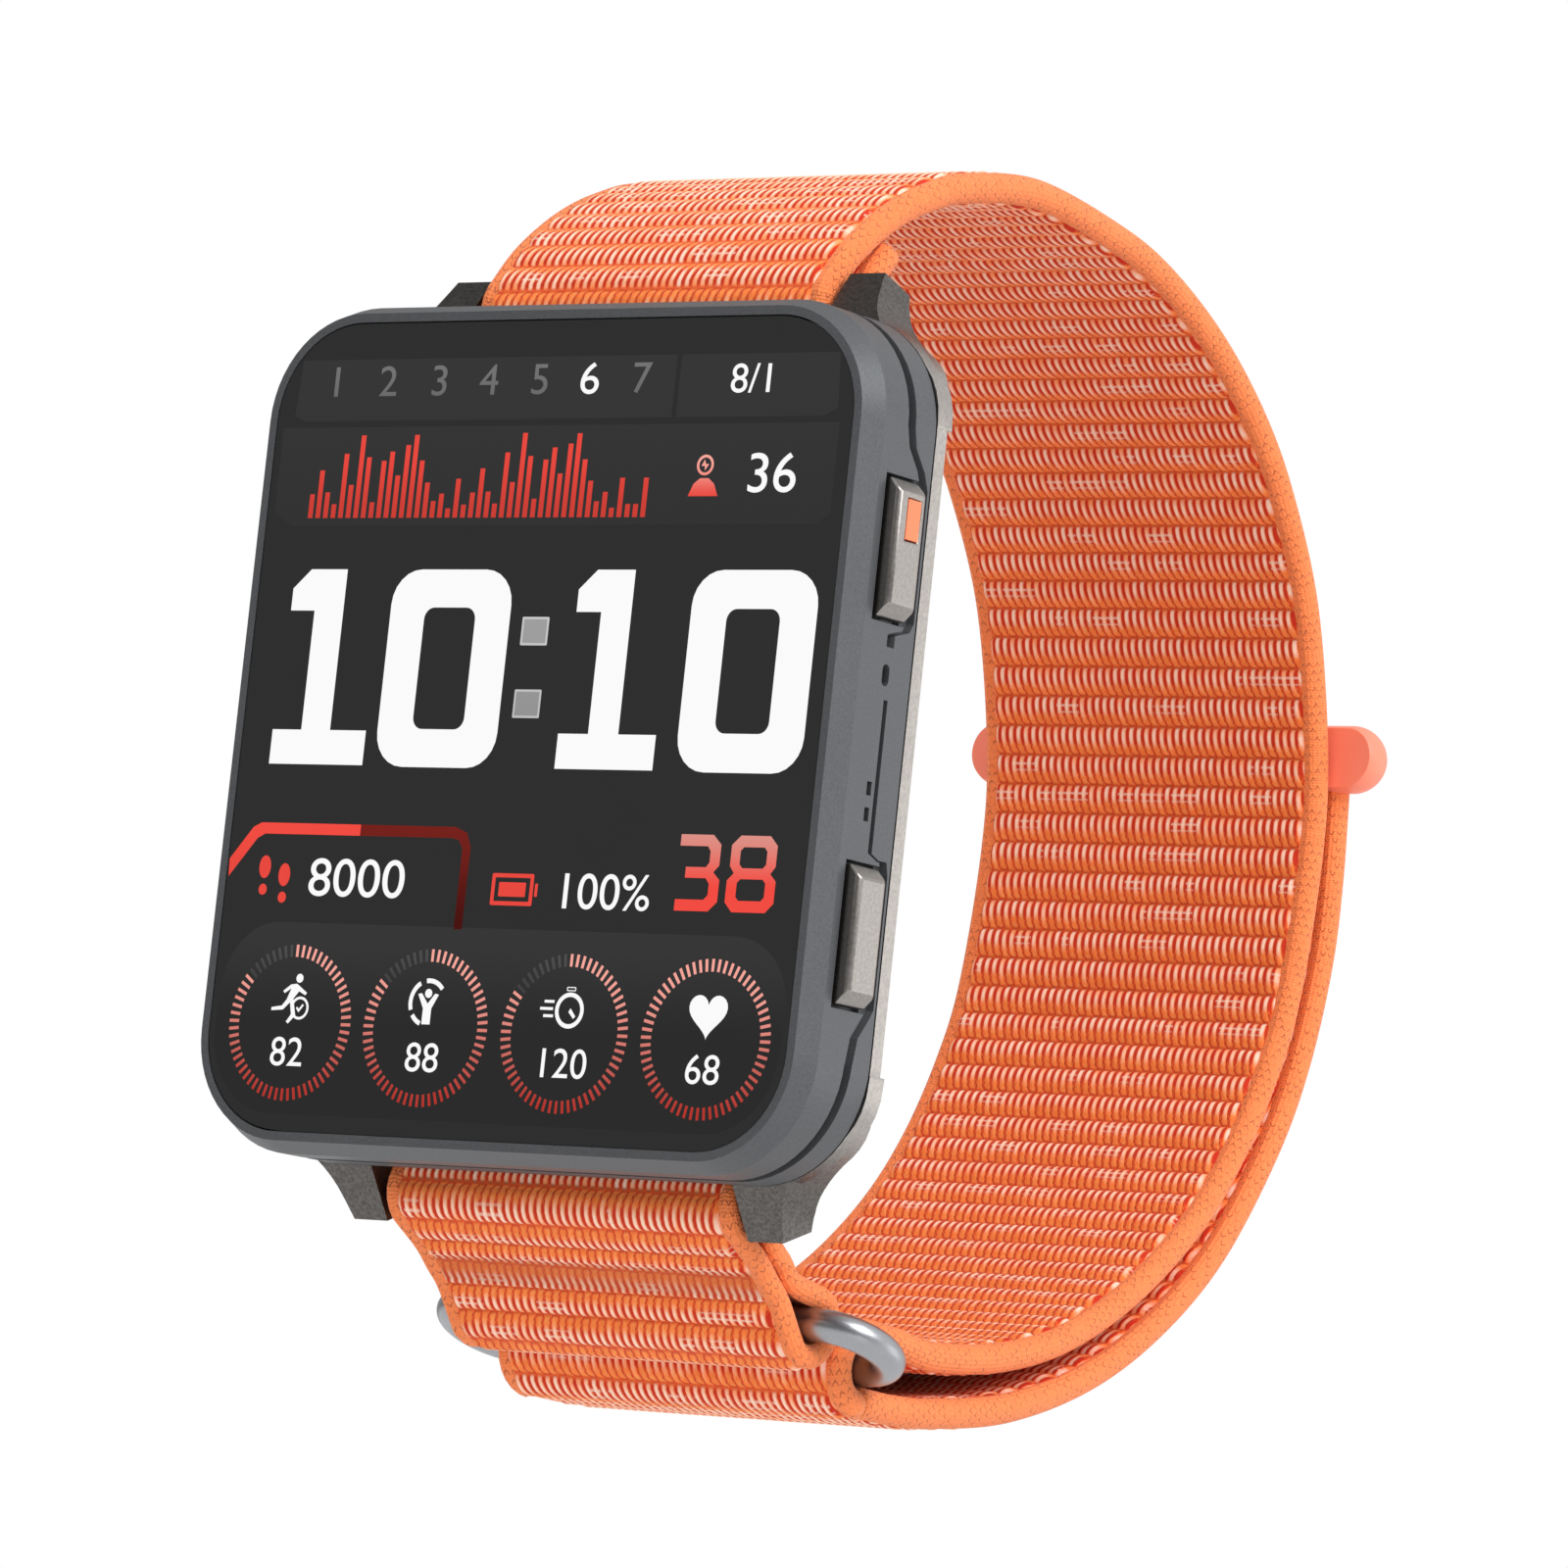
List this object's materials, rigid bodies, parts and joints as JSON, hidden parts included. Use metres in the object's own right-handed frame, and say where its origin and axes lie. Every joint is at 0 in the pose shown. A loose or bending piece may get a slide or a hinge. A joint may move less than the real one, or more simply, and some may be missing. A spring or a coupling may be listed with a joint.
{
  "type": "gps running watch",
  "caption": "Square running watch with a titanium back, two side buttons and a woven strap that turns back through a steel ring and closes on itself.",
  "frame": {"origin": "middle of the sensor window's flat face, which touches the wrist", "axes": "+Y out of the back towards the wrist, the display faces -Y, +Z towards 12 o'clock, +X towards the buttons at 3 o'clock"},
  "size_m": [0.0419, 0.0619, 0.0685],
  "materials": {
    "housing": "grey fibre-reinforced polymer, fine matt texture",
    "titanium": "fine-blasted titanium",
    "glass": "black-backed cover glass",
    "adhesive": "black tape",
    "display": "display panel",
    "alloy": "stamped light alloy",
    "board": "green circuit board",
    "cell": "wrapped battery cell",
    "rubber": "black rubber",
    "polymer": "black moulded polymer",
    "gold": "gold-plated contact",
    "steel": "polished stainless steel",
    "orange_inlay": "orange inlay",
    "strap_fabric": "orange, pink and dark red woven polyester",
    "coral": "coral moulded polymer"
  },
  "bodies": {
    "case": {"case_housing": "housing", "back_plate": "titanium", "back_plate_gasket": "rubber", "sensor_window": "glass", "charge_port": "polymer", "charge_pin_1": "gold", "charge_pin_2": "gold", "charge_pin_3": "gold", "charge_pin_4": "gold", "case_screw_1": "steel", "case_screw_2": "steel", "case_screw_3": "steel", "case_screw_4": "steel", "display_lens": "glass", "lens_adhesive": "adhesive", "display_panel": "display", "mid_frame": "alloy", "main_board": "board", "board_shield": "alloy", "battery": "cell", "sensor_board": "board", "vibration_motor": "steel", "speaker": "polymer", "microphone": "polymer", "pressure_sensor": "alloy", "gps_antenna": "gold", "upper_button_switch": "polymer", "lower_button_switch": "polymer", "upper_bar_tube": "steel", "upper_bar_spring": "steel", "lower_bar_tube": "steel", "lower_bar_spring": "steel"},
    "upper_button": {"upper_button_cap": "titanium", "upper_button_inlay": "orange_inlay", "upper_button_stem": "steel", "upper_button_seal": "rubber", "upper_button_clip": "steel"},
    "lower_button": {"lower_button_cap": "titanium", "lower_button_stem": "steel", "lower_button_seal": "rubber", "lower_button_clip": "steel"},
    "upper_release": {"upper_release_pin": "steel"},
    "lower_release": {"lower_release_pin": "steel"},
    "short_strap": {"short_strap": "strap_fabric"},
    "ring": {"strap_ring": "steel"},
    "long_strap": {"long_strap": "strap_fabric"},
    "tail": {"strap_tail": "strap_fabric", "end_tab": "coral"}
  },
  "joints": [
    {"name": "upper_button_press", "type": "slide", "parent": "case", "child": "upper_button", "axis": [-1, 0, 0], "range_m": [0, 0.00035], "stiffness_N_per_m": 2500, "springref_m": -0.0006},
    {"name": "lower_button_press", "type": "slide", "parent": "case", "child": "lower_button", "axis": [-1, 0, 0], "range_m": [0, 0.00035], "stiffness_N_per_m": 2500, "springref_m": -0.0006},
    {"name": "upper_bar_release", "type": "slide", "parent": "case", "child": "upper_release", "axis": [-1, 0, 0], "range_m": [0, 0.0014], "stiffness_N_per_m": 900, "springref_m": -0.0012, "deforming": ["upper_bar_spring"]},
    {"name": "lower_bar_release", "type": "slide", "parent": "case", "child": "lower_release", "axis": [-1, 0, 0], "range_m": [0, 0.0014], "stiffness_N_per_m": 900, "springref_m": -0.0012, "deforming": ["lower_bar_spring"]},
    {"name": "short_strap_swing", "type": "hinge", "parent": "case", "child": "short_strap", "pos_m": [0, 0.0011, -0.024], "axis": [1, 0, 0], "range_deg": [-5, 5], "stiffness_Nm_per_rad": 0.05},
    {"name": "ring_tilt", "type": "hinge", "parent": "short_strap", "child": "ring", "pos_m": [0, 0.0074, -0.02935], "axis": [1, 0, 0], "range_deg": [-12, 12]},
    {"name": "long_strap_swing", "type": "hinge", "parent": "case", "child": "long_strap", "pos_m": [0, 0.0011, 0.024], "axis": [1, 0, 0], "range_deg": [-0.5, 0.5]},
    {"name": "tail_peel", "type": "hinge", "parent": "long_strap", "child": "tail", "pos_m": [0, 0.0148, -0.034], "axis": [-1, 0, 0], "range_deg": [0, 60]}
  ],
  "couplings": [
    {"joint": "ring_tilt", "follows": "short_strap_swing", "ratio": -2.1081},
    {"joint": "long_strap_swing", "follows": "short_strap_swing", "ratio": 0.0582}
  ]
}
